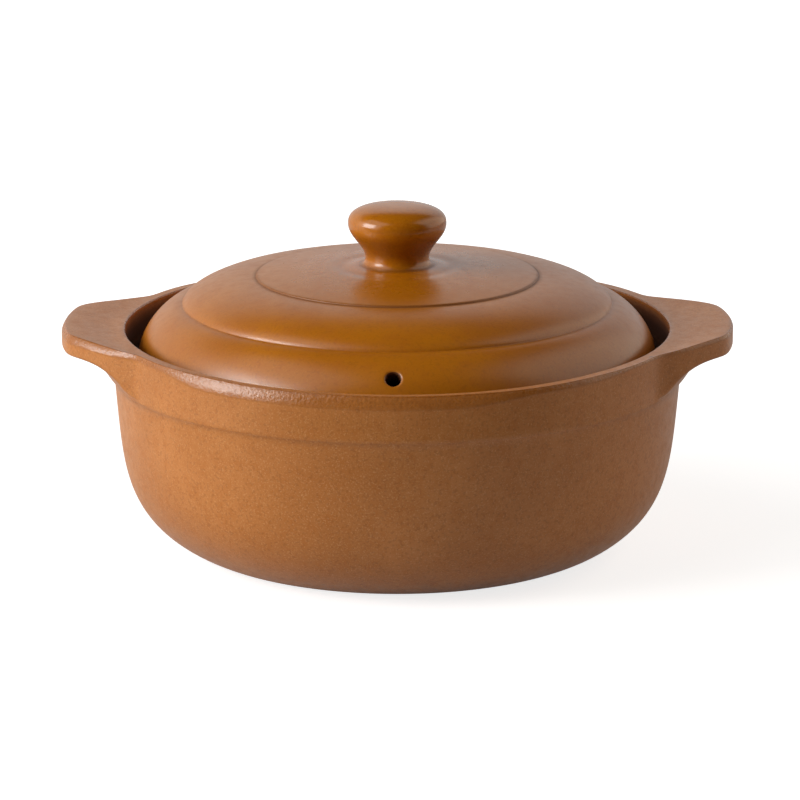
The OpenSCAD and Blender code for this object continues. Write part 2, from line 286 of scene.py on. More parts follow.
potSizes = {
    "rimDia": 245.9, "height": 94.9, "collarHeight": 20.1, "collarStep": 0.6, "sideLean": 6.2,
    "rimRise": 1.05, "riseFrom": 80, "riseTo": 30,   # the rim rises to the handles, in degrees from them
    "footDia": 168, "bellyPower": 4.6, "heelPower": 1.3, "wall": 7, "floor": 8,
    "footRing": 9, "footRecess": 1.5, "footSoft": 1.0, "floorSoft": 5,
    "ringInside": ((-2.4, 1.5), (-1.5, 1.3), (-0.4, 0.25), (0.4, 0), (3, 0)),    # out, up
    "ringFlat": (3, 0.9),                         # in from the foot's outer edge
    "collarEdge": ((0.05, 0.02), (0.22, 0.16), (0.46, 0.52)),     # the collar's lower edge: out, up
    "rimWall": 5.5, "rimBevel": (2.3, 5.6), "handleBevel": (2.1, 3.5), "bevelPower": 1.4,
    "rootBevel": 0.42, "bevelReach": (1, 12), "bevelTurn": (35, 49),   # mm out and degrees round
    "tighter": 0.55, "tightFrom": (0.2, 0.5),     # the edge is crisper on the right, past this cosine
    "rimInner": 0.9, "ledgeDepth": 12.2, "ledgeWidth": 11,
    "ledgeSoft": 1.3, "seatGlazed": 6, "seatWiped": 7, "seatEnd": 3,
    "throat": 4, "throatRow": 1, "flare": 14,
    "handleReach": 22, "handleWidth": 52.6, "handleThick": 9, "handleLift": 2.1, "liftPower": 0.8,
    "tipRound": 101, "cornerRound": 12.4, "sideAngle": 39.8, "rootRound": 23,
    "underReach": 22.5, "underPower": 3.9, "underFoot": 1.9, "footBlend": 0.1,
    "lowEdge": 1.3, "lowEdgeMost": 0.6,      # most of the underside that its rounded edge may take
    "lowEdgeRows": (0.42, 0.62),             # where its rows lie on the plain rim, as shares of the side
    "rootBlend": 12,         # how far out the handle's own edges are fully formed
    "rootSoft": 24,          # blur of the outline at the roots, in twentieths of a degree
    "unevenness": 0.16, "unevenScale": 26, "unevenSeed": 3.1, "evenWithin": 60, "evenBelow": 8,
    # rows and columns of the skin
    "recessSteps": 5, "footSteps": 4, "bellySteps": 41, "bellySpread": 1.6, "undersideSteps": 24,
    "underRows": 15, "lowRows": 9, "sideRows": 10, "edgeSteps": 14, "topSteps": 14, "innerSteps": 5,
    "flareSteps": 7, "insideSteps": 15, "insideSpread": 1.7, "floorCornerSteps": 5, "floorSteps": 6,
    "outlineSteps": 3600, "arcSteps": 80,
    "fineColumns": 85, "coarseColumns": 55, "fineTo": 34,    # columns are close up to this many degrees
    # bare clay and painted heel shade point by point, inside the foot ring, on its edge and on the
    # collar's, whose pale edge is partly a painted highlight
    "ringBare": (0.6, 1, 1, 1, 1), "footBare": (1, 0.95, 0.5, 0.1), "heelEdgeShade": (0, 0, 0.3, 0.5),
    "collarBareAndHighlight": (0, 0.2, 0.4),
    # painted shade and thin glaze elsewhere, with the millimetres over which it fades
    "heelShade": 0.45, "heelShadeFade": 2.5,
    "lowThin": 0.55, "edgeThin": 0.75, "edgeFrom": 0.08, "edgeSpan": 0.84,
    "crestThin": 0.6, "crestAt": 0.84, "crestWidth": 0.1,
    "faceThin": 0.3, "faceFade": 1.2, "mouthThin": (0.2, 0.7), "mouthTurn": 0.2,
    "mouthDepths": (1.8, 4, 7.5), "mouthShade": (0.7, 1.2, 1.5), "ledgeShade": 1.4,
}


def handleRadius(s):
    # the handle's outline seen from above, as radius against the angle from its own axis
    rimR = s["rimDia"] / 2
    tipX = rimR + s["handleReach"]
    tipC = np.array([tipX - s["tipRound"], 0])
    lean = math.radians(s["sideAngle"])
    out, run = np.array([math.sin(lean), math.cos(lean)]), np.array([math.cos(lean), -math.sin(lean)])
    sideDist = out @ np.array([tipX, s["handleWidth"] / 2])
    cornerIn = sideDist - s["cornerRound"] - out @ tipC
    cornerC = tipC + out * cornerIn + run * math.sqrt(
        (s["tipRound"] - s["cornerRound"]) ** 2 - cornerIn ** 2)
    rootOut = sideDist + s["rootRound"]
    sweep = rimR - s["collarStep"]
    rootC = out * rootOut + run * math.sqrt((sweep + s["rootRound"]) ** 2 - rootOut ** 2)
    cornerTurn = math.atan2(cornerC[1], cornerC[0] - tipC[0])
    sideTurn = math.pi / 2 - lean
    rootTurn = math.atan2(rootC[1], rootC[0])
    arcs = [(tipC, s["tipRound"], 0, cornerTurn), (cornerC, s["cornerRound"], cornerTurn, sideTurn),
            (rootC, s["rootRound"], sideTurn + math.pi, rootTurn + math.pi)]
    points = np.concatenate([
        centre + radius * np.stack([np.cos(a), np.sin(a)], 1)
        for centre, radius, start, end in arcs for a in [np.linspace(start, end, s["arcSteps"])]])
    turns = np.arctan2(points[:, 1], points[:, 0])
    radii = np.hypot(points[:, 0], points[:, 1])
    order = np.argsort(turns)
    fine = np.linspace(-math.pi / 2, math.pi / 2, s["outlineSteps"] + 1)
    r = np.interp(np.abs(fine), turns[order], radii[order], right=0)
    r = np.maximum(r, rimR)
    spread = s["rootSoft"]
    kernel = np.exp(-0.5 * (np.arange(-3 * spread, 3 * spread + 1) / spread) ** 2)
    smooth = np.convolve(np.pad(r, 3 * spread, mode="edge"), kernel / kernel.sum(), mode="valid")
    return fine, smooth


def potSection(s, reach, slant, rise, wide):
    # one upright section: reach is how far the handle stands out here, slant is the ratio of a
    # rounding seen along the radius to the true rounding, rise is how much the rim is raised, and
    # wide is the share of the full bevel, which tightens where the handle runs into the rim
    rimR, top = s["rimDia"] / 2, s["height"] + rise
    bodyR, footR = rimR - s["collarStep"], s["footDia"] / 2
    collarZ = s["height"] - s["collarHeight"]
    tipUnder = top + s["handleLift"] - s["handleThick"]
    formed = float(smoothStep(reach, 0, s["rootBlend"]))

    def belly(t, fromR, toR):
        return (fromR + (toR - s["sideLean"] - fromR)
                * (1 - (1 - t) ** s["bellyPower"]) ** (1 / s["heelPower"]) + s["sideLean"] * t)

    def underZ(r):
        out = (r - rimR - s["underFoot"]) / (s["underReach"] - s["underFoot"])
        share = 1 - min(1.0, (out + math.hypot(out, s["footBlend"])) / 2)
        return tipUnder - (tipUnder - collarZ - s["collarStep"]) * share ** s["underPower"]

    def topZ(r):
        return top + s["handleLift"] * ease(max(0.0, (r - rimR) / s["handleReach"]) ** s["liftPower"])

    points, thinAndShade, paintedShade, bare = [], [], [], []

    def put(path, thinOf=0.0, shadeOf=0.0, bareOf=0.0):
        for k, p in enumerate(path):
            points.append(tuple(p))
            thinAndShade.append(thinOf[k] if hasattr(thinOf, "__len__") else thinOf)
            paintedShade.append(shadeOf[k] if hasattr(shadeOf, "__len__") else shadeOf)
            bare.append(bareOf[k] if hasattr(bareOf, "__len__") else bareOf)

    # foot: recess, ring, and the soft edge where the glaze was wiped off
    ringIn = footR - s["footRing"]
    put([(ringIn * k / s["recessSteps"], s["footRecess"]) for k in range(s["recessSteps"])])
    put([(ringIn + out, z) for out, z in s["ringInside"]], bareOf=s["ringBare"])
    flat = [(footR - back, 0) for back in s["ringFlat"]]
    put(flat, bareOf=1)
    rowsUp = [t ** s["bellySpread"] for t in sharesOf(s["bellySteps"])]
    wall = [(belly(t, footR, bodyR), collarZ * t) for t in rowsUp]
    _, curve, wall = softCorner([flat[0], (footR, 0)], wall, s["footSoft"], s["footSteps"])
    # painted shade darkens the heel and the lowest millimetres of the wall, standing for the shadow where
    # the pot meets the floor
    put(curve[1:], bareOf=s["footBare"], shadeOf=s["heelEdgeShade"])
    wallZ = np.array([p[1] for p in wall[:-1]])
    put(wall[:-1], shadeOf=s["heelShade"] * np.exp(-wallZ / s["heelShadeFade"]))

    # collar's lower edge, softened by the glaze; its bare clay also paints a pale highlight line
    put([(bodyR + out, collarZ + up) for out, up in s["collarEdge"]], bareOf=s["collarBareAndHighlight"])
    start = (rimR, collarZ + s["collarStep"])

    # underside of the handle and its side, up to the top edge
    endR = rimR + reach
    outward = [rimR + reach * t for t in sharesOf(s["undersideSteps"])]
    under = [start] + [(r, underZ(r)) for r in outward[1:]]
    lowCorner = under[-1]
    bevelW, bevelH = (a + (b - a) * formed for a, b in zip(s["rimBevel"], s["handleBevel"]))
    bevelW, bevelH = bevelW * wide * (1 + (slant - 1) * formed), bevelH * wide
    side = [lowCorner, (endR, topZ(endR) - bevelH)]
    if reach > hair:
        soft = min(s["lowEdge"] * slant, lengths(under)[-1] * s["lowEdgeMost"])
        head, curve, tail = softCorner(under, side, soft, s["lowRows"])
        path = head + list(curve) + tail
        first = lengths(head + [curve[0]])[-1]
        second = lengths(head + list(curve))[-1]
    else:
        path, first, second = side, 0.0, 0.0
    total = lengths(path)[-1]
    first += (total * s["lowEdgeRows"][0] - first) * (1 - formed)
    second += (total * s["lowEdgeRows"][1] - second) * (1 - formed)
    places = np.concatenate([
        np.linspace(0, first, s["underRows"], endpoint=False),
        np.linspace(first, second, s["lowRows"], endpoint=False),
        np.linspace(second, total, s["sideRows"], endpoint=False)])
    low = s["lowThin"] * np.sin(np.linspace(0, math.pi, s["lowRows"]))
    put(pointsAlong(path, places),
        thinOf=formed * np.concatenate([np.zeros(s["underRows"]), low, np.zeros(s["sideRows"])]))

    # bevelled edge, the flat top, and in over the rim
    faceIn = rimR - s["rimWall"] + s["rimInner"]
    topR = endR - bevelW
    edge = quarter(topR, topZ(endR) - bevelH, endR, topZ(topR), s["bevelPower"], s["edgeSteps"])
    share = np.linspace(0, 1, s["edgeSteps"] + 1)
    crest = s["crestThin"] * np.exp(-((share - s["crestAt"]) / s["crestWidth"]) ** 2)
    put(edge, thinOf=crest + s["edgeThin"] * np.sqrt(
        np.sin(math.pi * (s["edgeFrom"] + s["edgeSpan"] * share))))
    face = [topR + (faceIn - topR) * k / s["topSteps"] for k in range(1, s["topSteps"] + 1)]
    put([(r, topZ(r)) for r in face[:-1]],
        thinOf=[s["faceThin"] * math.exp(-(topR - r) / s["faceFade"]) for r in face[:-1]])

    # rim wall, ledge and throat
    soft, mouth = s["rimInner"], rimR - s["rimWall"]
    arc = np.linspace(0, math.pi / 2, s["innerSteps"] + 1)
    least, more = s["mouthThin"]
    swell = np.sin(np.linspace(s["mouthTurn"], math.pi - s["mouthTurn"], s["innerSteps"] + 1))
    put([(mouth + soft - soft * math.sin(a), top - soft + soft * math.cos(a)) for a in arc],
        thinOf=least + more * swell)
    seat, throatR, soft = s["height"] - s["ledgeDepth"], mouth - s["ledgeWidth"], s["ledgeSoft"]
    # painted shade down the mouth and on the ledge, in the gap under the lid
    put([(mouth, top - depth) for depth in s["mouthDepths"]], shadeOf=s["mouthShade"])
    put([(mouth - soft + soft * math.cos(a), seat + soft - soft * math.sin(a)) for a in arc],
        shadeOf=s["ledgeShade"])
    put([(mouth - s["seatGlazed"], seat)], shadeOf=s["ledgeShade"])
    put([(mouth - s["seatWiped"], seat), (throatR + s["seatEnd"], seat)], bareOf=1)
    put([(throatR + soft - soft * math.sin(a), seat - soft + soft * math.cos(a)) for a in arc],
        bareOf=np.linspace(1, 0, s["innerSteps"] + 1))
    put([(throatR, seat - s["throat"] + s["throatRow"])])

    # opening out to the wall, then down to the floor
    floorZ = s["footRecess"] + s["floor"]
    flareZ = seat - s["throat"] - s["flare"]

    def insideR(z):
        return belly((z - floorZ) / (collarZ - floorZ), footR - s["wall"], bodyR - s["wall"])

    put([(throatR + (insideR(flareZ) - throatR) * ease(t), seat - s["throat"] - s["flare"] * t)
         for t in sharesOf(s["flareSteps"])])
    inside = [floorZ + (flareZ - floorZ) * (1 - k / s["insideSteps"]) ** s["insideSpread"]
              for k in range(1, s["insideSteps"])]
    wall = [(insideR(z), z) for z in inside] + [(footR - s["wall"], floorZ)]
    head, curve, _ = softCorner(wall, [wall[-1], (0, floorZ)], s["floorSoft"], s["floorCornerSteps"])
    put(head + curve)
    put([(curve[-1][0] * k / s["floorSteps"], floorZ) for k in reversed(range(s["floorSteps"]))])
    return points, thinAndShade, paintedShade, bare


def turnsOf(s):
    fine = np.linspace(0, s["fineTo"], s["fineColumns"], endpoint=False)
    coarse = np.linspace(s["fineTo"], 90, s["coarseColumns"], endpoint=False)
    quarterTurn = np.concatenate([fine, coarse])
    back = 180 - np.concatenate([[90], quarterTurn[::-1]])[:-1]
    half = np.concatenate([quarterTurn, back])
    return np.radians(np.concatenate([half, half + 180]))


def makePot(s):
    fine, smooth = handleRadius(s)
    turns = turnsOf(s)
    # angle from the nearer handle's axis
    fromAxis = np.abs((turns + math.pi / 2) % math.pi - math.pi / 2)
    radii = np.interp(fromAxis, fine, smooth)
    slope = np.interp(fromAxis, fine, np.gradient(smooth, fine)) / radii
    slant = np.sqrt(1 + slope ** 2)
    columns, layers = [], [[], [], []]
    known = {}
    for turn, radius, lean, away in zip(turns, radii, slant, fromAxis):
        right = float(smoothStep(math.cos(turn), *s["tightFrom"]))
        key = (round(float(away), 6), round(right, 3))
        if key not in known:
            rise = s["rimRise"] * float(smoothStep(math.degrees(away), s["riseFrom"], s["riseTo"]))
            reach = max(0.0, float(radius) - s["rimDia"] / 2)
            plain = max(float(smoothStep(reach, *s["bevelReach"])),
                        float(smoothStep(math.degrees(away), *s["bevelTurn"])))
            wide = (s["rootBevel"] + (1 - s["rootBevel"]) * plain) * (1 - s["tighter"] * right)
            known[key] = potSection(s, reach, float(lean), rise, wide)
        points, *values = known[key]
        columns.append([(p[0] * math.cos(turn), p[0] * math.sin(turn), p[1]) for p in points])
        for layer, value in zip(layers, values):
            layer.append(value)
    count, rows = len(columns), len(columns[0])
    verts, floats = [], [[], [], []]
    for i, column in enumerate(columns):
        for j in range(1, rows - 1):
            x, y, z = column[j]
            drop = s["unevenness"] * unevenness(x * mm, y * mm, z * mm, s["unevenScale"], s["unevenSeed"])
            size = math.hypot(x, y)
            shrink = 1 - drop * min(1.0, z / s["evenBelow"]) / size if size > s["evenWithin"] else 1
            verts.append((x * shrink * mm, y * shrink * mm, z * mm))
            for k in range(3):
                floats[k].append(layers[k][i][j])
    bottom, topMiddle = len(verts), len(verts) + 1
    verts += [tuple(c * mm for c in columns[0][0]), tuple(c * mm for c in columns[0][-1])]
    for k in range(3):
        floats[k] += [layers[k][0][0], layers[k][0][-1]]
    inner = rows - 2
    faces = []
    for i in range(count):
        a, b = i * inner, ((i + 1) % count) * inner
        faces += [(a + j, b + j, b + j + 1, a + j + 1) for j in range(inner - 1)]
        faces.append((bottom, b, a))
        faces.append((topMiddle, a + inner - 1, b + inner - 1))
    mesh = bpy.data.meshes.new("potSkin")
    mesh.from_pydata(verts, [], faces)
    mesh.shade_smooth()
    for name, values in zip(("thinGlazeAndShadeMask", "paintedShadeMask", "bareClay"), floats):
        setFloats(mesh, name, values)
    mesh.materials.append(potGlaze)
    print("pot skin:", count, "columns,", rows, "points round,",
          sum(len(face) - 2 for face in faces), "triangles")
    return mesh


potMesh = makePot(potSizes)
addPiece("potSkin", potMesh, "pot", ("pot_body", "left_handle", "right_handle"))
print("stage: pot made")


lidSizes = {
    "edgeR": 111.6, "seat": 82.7, "edgeHeight": 2, "edgeSoft": 1.1,
    "lowerTop": 23.6, "upperTop": 11.5, "tierWidth": 19.1, "tierPower": 1.65, "creaseSoft": 0.6,
    "lowerSoft": 0.3, "seatSoft": 0.6, "hollowSoft": 0.4, "seatRow": 3,
    "discR": 60.8, "discStep": 0.8, "discCrown": 4.3, "stepSoft": 0.5,
    "dipR": 23.5, "dipWidth": 3.2, "dipDepth": 0.45,      # trough left where the knob was luted on
    "middle": 8, "hollowPower": 2.8, "ringDrop": 5, "ringR": 105.3, "ringThick": 6.3, "ringSoft": 1.2,
    "knobDia": 42.4, "neckDia": 27.4, "neckFoot": 30.6, "neckHeight": 2.9, "headRise": 15,
    "capHeight": 8.2, "capPower": 2.65, "neckSoft": 1.3,
    "ventDia": 6.2, "ventEdge": 1.1, "ventAngle": 43.5, "ventTurn": 0.87, "ventSlope": 0.85,
    "ventDeep": 7,           # about how far below the outside the bore comes out
    "unevenness": 0.12, "unevenScale": 30, "unevenSeed": 7.7, "evenFrom": 1, "evenBelow": 8,
    # rows of the profile and round the vent
    "turnSteps": 360, "capSteps": 22, "headSteps": 24, "neckSteps": 6, "discSteps": 26,
    "discEdgeSteps": 4, "tierSteps": 29, "creaseSteps": 6, "joinSteps": 2, "turnInSteps": 3,
    "roundSteps": 4, "hollowSteps": 56, "ventBlock": (12, 8), "ventBlockInside": (10, 10),
    "ventRings": 5, "ventEdgeSteps": 5, "ventBore": (0.33, 0.67), "ventSearchSteps": 1761,
    # thin glaze and painted shade: an amount and the millimetres over which it fades
    "discThin": (0.3, 0.7), "ventThin": (0.3, 0.8), "edgeThin": (0.5, 1.8),
    "discFootShade": (0.9, 0.9), "neckShade": (0.8, 1.4), "creaseShade": (0.2, 0.6),
    "headShade": 0.9, "headFrom": (-1, 4), "headTo": (-1, -6),    # painted shade under the knob's head, carried by the thin glaze layer
    "ventShade": 1.4, "ventSkin": 0.35, "seatBare": 0.3,
    "discPolish": 0.6, "knobPolish": 0.4,        # how much smoother the glaze is there
}


def lidProfile(s):
    # from the middle of the knob's cap out over the lid and back under it; r and z in millimetres
    edgeZ = s["seat"] + s["edgeHeight"]
    shoulderR, shoulderZ = s["edgeR"] - s["tierWidth"], s["seat"] + s["lowerTop"]
    stepZ = shoulderZ + s["upperTop"]
    discZ, flatR = stepZ + s["discStep"], s["discR"] - s["discStep"]
    crownZ = discZ + s["discCrown"]
    knobR, neckR, footR = s["knobDia"] / 2, s["neckDia"] / 2, s["neckFoot"] / 2
    neckZ = crownZ + s["neckHeight"]
    headZ = neckZ + s["headRise"]

    def discAt(r):
        dip = s["dipDepth"] * math.exp(-((r - s["dipR"]) / s["dipWidth"]) ** 2)
        return (r, discZ + s["discCrown"] * (1 - (r / flatR) ** 2) - dip)

    cap = quarter(0, headZ, knobR, headZ + s["capHeight"], s["capPower"], s["capSteps"])[::-1]
    head = [(neckR + (knobR - neckR) * ease(1 - t), headZ - s["headRise"] * t)
            for t in sharesOf(s["headSteps"])]
    neck = [(neckR + (footR - neckR) * t ** 2, neckZ - s["neckHeight"] * t)
            for t in sharesOf(s["neckSteps"])]
    knob = cap + head[1:] + neck[1:] + [discAt(footR)]
    disc = [discAt(footR + (flatR - footR) * t) for t in sharesOf(s["discSteps"])]
    discEdge = quarter(flatR, stepZ, s["discR"], discZ, 2, s["discEdgeSteps"])[::-1]
    upper = quarter(s["discR"], shoulderZ, shoulderR, stepZ, s["tierPower"], s["tierSteps"])[::-1]
    lower = quarter(shoulderR, edgeZ, s["edgeR"], shoulderZ, s["tierPower"], s["tierSteps"])[::-1]
    ringIn, ringLow = s["ringR"] - s["ringThick"], s["seat"] - s["ringDrop"]
    hollow = quarter(0, s["seat"], ringIn, crownZ - s["middle"], s["hollowPower"], s["hollowSteps"])
    path, marks = chain([
        knob, (s["neckSoft"], s["creaseSteps"]),
        disc, (s["stepSoft"], s["turnInSteps"]),
        discEdge, (s["stepSoft"], s["roundSteps"]),
        upper, (s["creaseSoft"], s["creaseSteps"]),
        lower, (s["lowerSoft"], s["joinSteps"]),
        [(s["edgeR"], edgeZ), (s["edgeR"], s["seat"])], (s["edgeSoft"], s["roundSteps"]),
        [(s["edgeR"], s["seat"]), (s["ringR"] + s["seatRow"], s["seat"]), (s["ringR"], s["seat"])],
        (s["seatSoft"], s["turnInSteps"]),
        [(s["ringR"], s["seat"]), (s["ringR"], ringLow)], (s["ringSoft"], s["roundSteps"]),
        [(s["ringR"], ringLow), (ringIn, ringLow)], (s["ringSoft"], s["roundSteps"]),
        [(ringIn, ringLow), (ringIn, s["seat"])], (s["hollowSoft"], s["joinSteps"]),
        hollow,
    ])
    return path, marks


def turnedTree():
    # spins the profile that it is put on round the Z axis
    tree = bpy.data.node_groups.new("turnedForm", "GeometryNodeTree")
    face = tree.interface
    face.new_socket("Geometry", in_out="INPUT", socket_type="NodeSocketGeometry")
    face.new_socket("Turn Steps", in_out="INPUT", socket_type="NodeSocketInt").default_value = 360
    face.new_socket("Start Turn", in_out="INPUT", socket_type="NodeSocketFloat")
    face.new_socket("Closing Distance", in_out="INPUT", socket_type="NodeSocketFloat")
    face.new_socket("Glaze", in_out="INPUT", socket_type="NodeSocketMaterial")
    face.new_socket("Geometry", in_out="OUTPUT", socket_type="NodeSocketGeometry")
    make = nodeMaker(tree)
    given = make("NodeGroupInput").outputs
    size = make("GeometryNodeAttributeDomainSize", {"Geometry": given["Geometry"]})
    count = size.outputs["Point Count"]
    columns = calc(make, "ADD", given["Turn Steps"], 1.0)
    grid = make("GeometryNodeMeshGrid", {"Size X": 1.0, "Size Y": 1.0, "Vertices X": columns,
                                         "Vertices Y": count})
    place = make("GeometryNodeInputPosition").outputs["Position"]
    split = make("ShaderNodeSeparateXYZ", {0: place}).outputs
    around = calc(make, "MULTIPLY_ADD", calc(make, "ADD", split["X"], 0.5), 2 * math.pi)
    tree.links.new(given["Start Turn"], around.node.inputs[2])
    along = calc(make, "MULTIPLY", calc(make, "ADD", split["Y"], 0.5), calc(make, "SUBTRACT", count, 1.0))
    sample = make("GeometryNodeSampleIndex", {"Geometry": given["Geometry"]}, data_type="FLOAT_VECTOR")
    tree.links.new(place, sample.inputs["Value"])
    tree.links.new(calc(make, "ROUND", along), sample.inputs["Index"])
    spun = make("ShaderNodeVectorRotate", {"Vector": sample.outputs["Value"], "Angle": around},
                rotation_type="Z_AXIS")
    form = make("GeometryNodeSetPosition", {"Geometry": grid.outputs["Mesh"],
                                            "Position": spun.outputs["Vector"]})
    form = make("GeometryNodeMergeByDistance", {"Geometry": form.outputs["Geometry"],
                                                "Distance": given["Closing Distance"]})
    form = make("GeometryNodeSetShadeSmooth", {"Geometry": form.outputs["Geometry"]})
    form = make("GeometryNodeRealizeInstances", {"Geometry": form.outputs["Geometry"]})
    form = make("GeometryNodeSetMaterial", {"Geometry": form.outputs["Geometry"],
                                            "Material": given["Glaze"]})
    out = make("NodeGroupOutput")
    tree.links.new(form.outputs["Geometry"], out.inputs["Geometry"])
    return tree


def spinProfile(name, path, steps, startTurn, glaze):
    line = bpy.data.meshes.new(name + "Line")
    line.from_pydata([(r * mm, 0, z * mm) for r, z in path],
                     [(k, k + 1) for k in range(len(path) - 1)], [])
    holder = bpy.data.objects.new(name + "Line", line)
    scene.collection.objects.link(holder)
    modifier = holder.modifiers.new("turnedForm", "NODES")
    modifier.node_group = turnedTree()
    values = {"Turn Steps": steps, "Start Turn": startTurn, "Closing Distance": closing, "Glaze": glaze}
    for item in modifier.node_group.interface.items_tree:
        if item.in_out == "INPUT" and item.name in values:
            modifier[item.identifier] = values[item.name]
    graph = bpy.context.evaluated_depsgraph_get()
    mesh = bpy.data.meshes.new_from_object(holder.evaluated_get(graph), depsgraph=graph)
    holder.modifiers.remove(modifier)
    bpy.data.objects.remove(holder)
    mesh.name = name
    return mesh


def cutVent(bm, s, ventTurn):
    # opens the steam vent: on each side a block of faces gives way to rings that close in on a circle
    edgeZ = s["seat"] + s["edgeHeight"]
    shoulderR, shoulderZ = s["edgeR"] - s["tierWidth"], s["seat"] + s["lowerTop"]
    hollowR = s["ringR"] - s["ringThick"]
    crownZ = shoulderZ + s["upperTop"] + s["discStep"] + s["discCrown"]

    def outer(angle):
        return quarterAt(shoulderR, edgeZ, s["edgeR"], shoulderZ, s["tierPower"], angle)

    def inner(angle):
        return quarterAt(0, s["seat"], hollowR, crownZ - s["middle"], s["hollowPower"], angle)

    def normalAt(curve, angle):
        a, b = np.array(curve(angle - 0.5)), np.array(curve(angle + 0.5))
        d = (b - a) / np.linalg.norm(b - a)
        return np.array([d[1], -d[0]])        # away from the axis and up, for both curves

    middle = np.array(outer(s["ventAngle"]))
    axis = normalAt(outer, s["ventAngle"])
    acrossAxis = np.array([-axis[1], axis[0]])
    fineAngles = np.linspace(1, 89, s["ventSearchSteps"])
    finePoints = {curve: np.array([curve(a) for a in fineAngles]) - middle for curve in (outer, inner)}

    def meet(curve, offset):
        # where a line beside the vent's axis meets a curve of the profile
        pts = finePoints[curve]
        side = pts @ acrossAxis - offset
        near = np.where(side[:-1] * side[1:] <= 0)[0]
        best = min(near, key=lambda k: abs(pts[k] @ axis + (0 if curve is outer else s["ventDeep"])))
        share = side[best] / (side[best] - side[best + 1])
        return fineAngles[best] + share * (fineAngles[best + 1] - fineAngles[best])

    def spot(curve, angle, turn, sink=0.0):
        p = np.array(curve(angle)) - sink * normalAt(curve, angle) * (1 if curve is outer else -1)
        return Vector((p[0] * math.cos(turn), p[0] * math.sin(turn), p[1])) * mm

    step = 2 * math.pi / s["turnSteps"]
    tree = KDTree(len(bm.verts))
    bm.verts.ensure_lookup_table()
    for v in bm.verts:
        tree.insert(v.co, v.index)
    tree.balance()
    rings, doomed, phis = {}, set(), []
    for curve, steps, block in ((outer, s["tierSteps"], s["ventBlock"]),
                                (inner, s["hollowSteps"], s["ventBlockInside"])):
        bm.verts.ensure_lookup_table()
        centre = s["ventAngle"] if curve is outer else meet(inner, 0.0)
        row = round(centre / (90 / steps))
        up, side = block[0] // 2, block[1] // 2
        found = {}
        for i in range(-side, side + 1):
            for j in range(-up, up + 1):
                turn, angle = ventTurn + i * step, (row + j) * 90 / steps
                _, index, distance = tree.find(spot(curve, angle, turn))
                if distance > closing:
                    raise ValueError("the vent's block of faces isn't on the lid's grid")
                found[i, j] = (index, turn, angle)
        border = ([(i, -up) for i in range(-side, side)] + [(side, j) for j in range(-up, up)]
                  + [(i, up) for i in range(side, -side, -1)] + [(-side, j) for j in range(up, -up, -1)])
        doomed |= {found[i, j][0] for i in range(-side + 1, side) for j in range(-up + 1, up)}
        radius = s["ventDia"] / 2
        edge = s["ventEdge"]
        offsets = []
        for key in border:
            index, turn, angle = found[key]
            p = np.array(curve(angle)) - middle
            offsets.append(((turn - ventTurn) * curve(angle)[0], p @ acrossAxis))
        phis = phis or [math.atan2(y, x) for x, y in offsets]
        ringSet = [[bm.verts[found[key][0]] for key in border]]
        for k in range(1, s["ventRings"] + s["ventEdgeSteps"] + 1):
            ring = []
            for phi, (x, y) in zip(phis, offsets):
                if k <= s["ventRings"]:
                    t = k / s["ventRings"]
                    reach = radius + edge
                    px = x + (reach * math.cos(phi) - x) * t
                    py = y + (reach * math.sin(phi) - y) * t
                    sink = 0.0
                else:
                    a = math.pi / 2 * (k - s["ventRings"]) / s["ventEdgeSteps"]
                    reach = radius + edge * (1 - math.sin(a))
                    px, py, sink = reach * math.cos(phi), reach * math.sin(phi), edge * (1 - math.cos(a))
                at = meet(curve, py)
                ring.append(bm.verts.new(spot(curve, at, ventTurn + px / curve(at)[0], sink)))
            ringSet.append(ring)
        rings[curve] = ringSet
    outerSet, innerSet = rings[outer], rings[inner]

    def band(a, b, flip):
        for k in range(len(a)):
            quad = [a[k - 1], a[k], b[k], b[k - 1]]
            bm.faces.new(quad[::-1] if flip else quad)

    for a, b in zip(outerSet[:-1], outerSet[1:]):
        band(a, b, False)
    for a, b in zip(innerSet[:-1], innerSet[1:]):
        band(a, b, True)
    last = outerSet[-1]
    for share in s["ventBore"]:
        ring = [bm.verts.new(p.co.lerp(q.co, share)) for p, q in zip(outerSet[-1], innerSet[-1])]
        band(last, ring, False)
        last = ring
    band(last, innerSet[-1], False)
    bm.verts.ensure_lookup_table()
    bmesh.ops.delete(bm, geom=[bm.verts[k] for k in doomed], context="VERTS")


def faded(distance, amount, fade):
    return amount * math.exp(-(distance / fade) ** 2)


